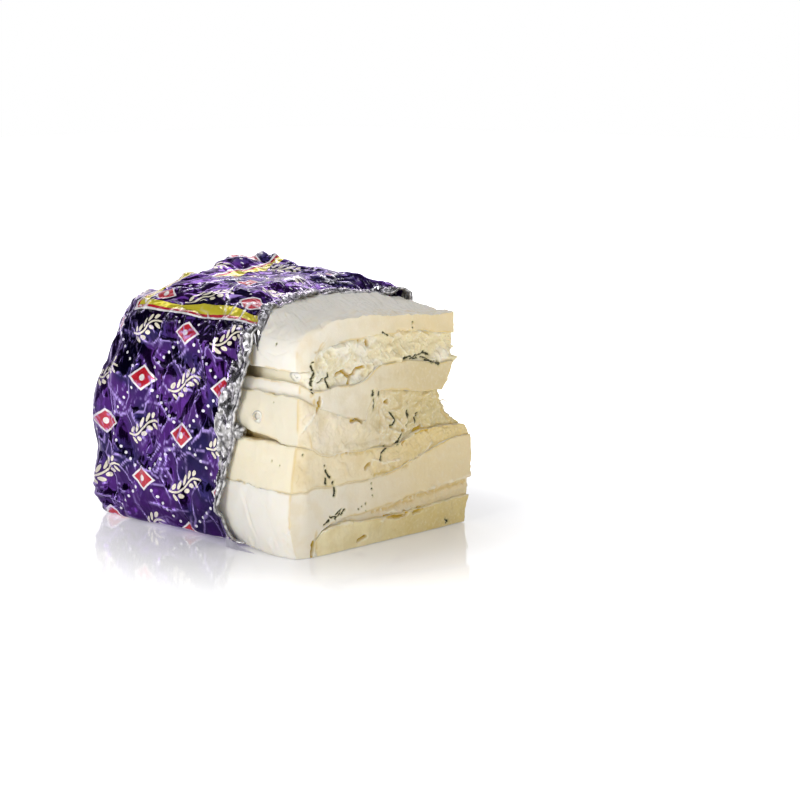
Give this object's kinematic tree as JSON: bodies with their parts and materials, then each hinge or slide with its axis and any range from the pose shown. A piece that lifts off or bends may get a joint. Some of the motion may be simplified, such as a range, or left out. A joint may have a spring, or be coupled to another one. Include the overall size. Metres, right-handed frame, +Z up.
{
  "type": "layered gorgonzola and mascarpone cheese in foil",
  "caption": "Half a loaf of layered blue and cream cheese, cut across one end and still wrapped in crumpled violet foil over the other.",
  "frame": {"origin": "the middle of the footprint, on the table that the loaf stands on", "axes": "+X runs along the loaf towards the fresh cut face, -Y faces the side where the skin and the layers show, +Z is up"},
  "size_m": [0.146, 0.1136, 0.1164],
  "materials": {
    "foil_wrap": "violet lacquered aluminium foil, crumpled, silver on the inside",
    "mascarpone_top": "soft white paste with a finely wrinkled skin",
    "gorgonzola_upper": "crumbly cream coloured paste with blue veins",
    "mascarpone_upper": "smooth white paste",
    "gorgonzola_middle": "crumbly cream coloured paste with blue veins",
    "gorgonzola_lower": "cream coloured paste with blue veins",
    "mascarpone_lower": "smooth white paste with a pale skin",
    "mascarpone_thin": "smooth pale paste",
    "gorgonzola_base": "cream coloured paste with blue veins"
  },
  "bodies": {
    "root": {"foil_wrap": "foil_wrap", "mascarpone_top": "mascarpone_top", "gorgonzola_upper": "gorgonzola_upper", "mascarpone_upper": "mascarpone_upper", "gorgonzola_middle": "gorgonzola_middle", "gorgonzola_lower": "gorgonzola_lower", "mascarpone_lower": "mascarpone_lower", "mascarpone_thin": "mascarpone_thin", "gorgonzola_base": "gorgonzola_base"}
  },
  "joints": []
}
